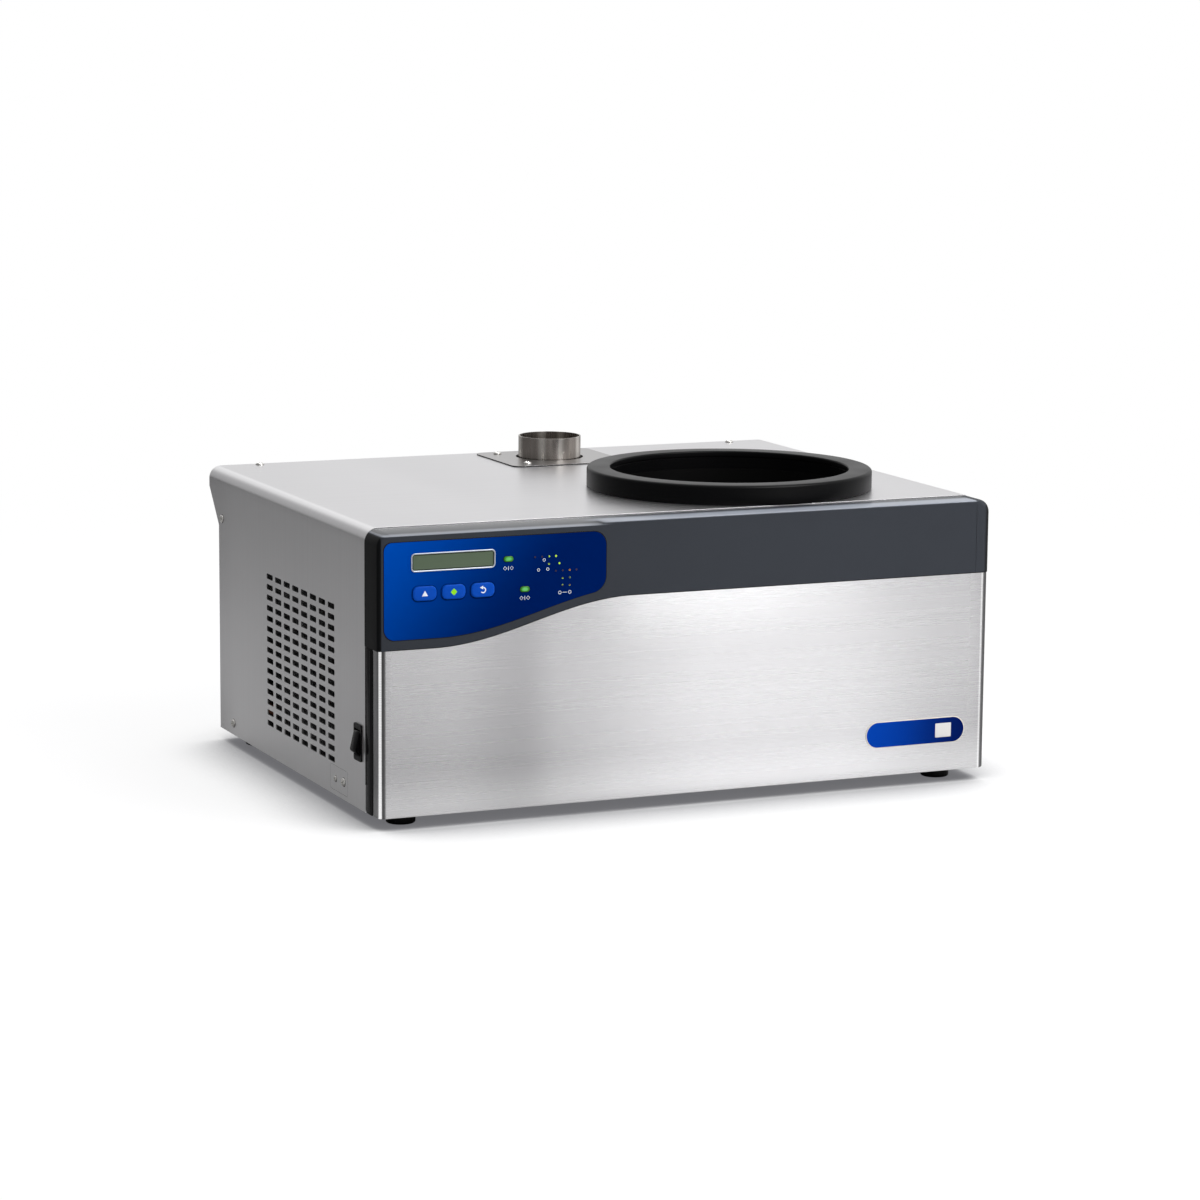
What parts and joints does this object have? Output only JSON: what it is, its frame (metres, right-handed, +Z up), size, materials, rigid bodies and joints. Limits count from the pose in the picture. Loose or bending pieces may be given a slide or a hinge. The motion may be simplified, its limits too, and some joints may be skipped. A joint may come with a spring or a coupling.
{
  "type": "freeze dryer",
  "caption": "Benchtop freeze dryer: stainless casing with an open collector chamber under a black collar, a top vacuum port and a front control console.",
  "frame": {"origin": "on the bench, below the middle of the casing", "axes": "+X to the right seen from the front, +Y to the rear, +Z up"},
  "size_m": [0.8334, 0.6423, 0.391],
  "materials": {
    "brushed_stainless": "horizontal brushed grain, satin",
    "zinc_steel": "zinc plated sheet, dull",
    "charcoal_plastic": "fine texture on the face, smoother on the rolled top edge",
    "black_plastic": "satin",
    "black_gloss": "gloss",
    "black_rubber": "matt with a faint bloom",
    "screw_steel": "bright plated",
    "blue_film": "printed film, semi-gloss, lighter at the top left",
    "silver_frame": "satin",
    "display_glass": "grey-green unlit display",
    "circuit_board": "solder mask",
    "blue_key": "moulded, semi-gloss",
    "green_lens": "lit green lens",
    "dot_lens": "small lenses, mostly yellow-green",
    "badge_blue": "printed blue with a pale border",
    "badge_white": "white",
    "chamber_black": "baked black coating, satin",
    "foam": "closed-cell foam jacket",
    "brass": "machined",
    "clear_hose": "milky flexible hose",
    "tube_steel": "turned stainless with lengthwise streaks",
    "black_enamel": "satin enamel",
    "copper": "drawn copper tube",
    "fin_aluminium": "thin pressed sheet"
  },
  "bodies": {
    "casing": {"base_pan": "zinc_steel", "cover": "brushed_stainless", "rear_panel": "brushed_stainless", "front_panel": "brushed_stainless", "front_bezel": "charcoal_plastic", "bezel_end_cap": "charcoal_plastic", "corner_trim_left": "black_plastic", "corner_trim_right": "black_plastic", "foot_front_left": "black_rubber", "foot_front_right": "black_rubber", "foot_rear_left": "black_rubber", "foot_rear_right": "black_rubber", "foot_screws": "screw_steel", "cover_screws": "screw_steel", "rear_screws": "screw_steel", "control_overlay": "blue_film", "display_frame": "silver_frame", "display_window": "display_glass", "control_board": "circuit_board", "status_lamps": "green_lens", "mimic_lamps": "dot_lens", "badge_plate": "badge_blue", "badge_insert": "badge_white", "switch_housing": "black_plastic", "collar_gasket": "black_rubber", "chamber": "chamber_black", "chamber_insulation": "foam", "evaporator_coil": "chamber_black", "coil_supports": "chamber_black", "drain_fitting": "brass", "drain_hose": "clear_hose", "drain_barb": "brass", "port_tube": "tube_steel", "port_plate": "brushed_stainless", "port_screws": "screw_steel", "cross_pipe": "tube_steel", "vacuum_line": "tube_steel", "vacuum_outlet": "tube_steel", "vacuum_sensor": "black_plastic", "compressor": "black_enamel", "compressor_grommets": "black_rubber", "compressor_cover": "black_plastic", "condenser_coil": "copper", "condenser_fins": "fin_aluminium", "fan_shroud": "black_enamel", "fan_bracket": "zinc_steel", "fan_motor": "black_enamel", "filter_drier": "copper", "discharge_line": "copper", "liquid_line": "copper", "capillary_tube": "copper", "suction_line": "copper", "electrical_box": "zinc_steel", "power_inlet": "black_plastic"},
    "key_up": {"key_up": "blue_key"},
    "key_select": {"key_select": "blue_key"},
    "key_return": {"key_return": "blue_key"},
    "mains_rocker": {"switch_rocker": "black_gloss"},
    "fan": {"fan_blade": "fin_aluminium", "fan_shaft": "screw_steel"}
  },
  "joints": [
    {"name": "key_up_press", "type": "slide", "parent": "casing", "child": "key_up", "axis": [0, 1, 0], "range_m": [0, 0.0012], "stiffness_N_per_m": 900},
    {"name": "key_select_press", "type": "slide", "parent": "casing", "child": "key_select", "axis": [0, 1, 0], "range_m": [0, 0.0012], "stiffness_N_per_m": 900},
    {"name": "key_return_press", "type": "slide", "parent": "casing", "child": "key_return", "axis": [0, 1, 0], "range_m": [0, 0.0012], "stiffness_N_per_m": 900},
    {"name": "mains_rocker_swing", "type": "hinge", "parent": "casing", "child": "mains_rocker", "pos_m": [-0.4085, -0.251, 0.098], "axis": [0, -1, 0], "range_deg": [0, 26]},
    {"name": "fan_spin", "type": "hinge", "parent": "casing", "child": "fan", "pos_m": [-0.34, -0.036, 0.151], "axis": [1, 0, 0], "continuous": true}
  ]
}
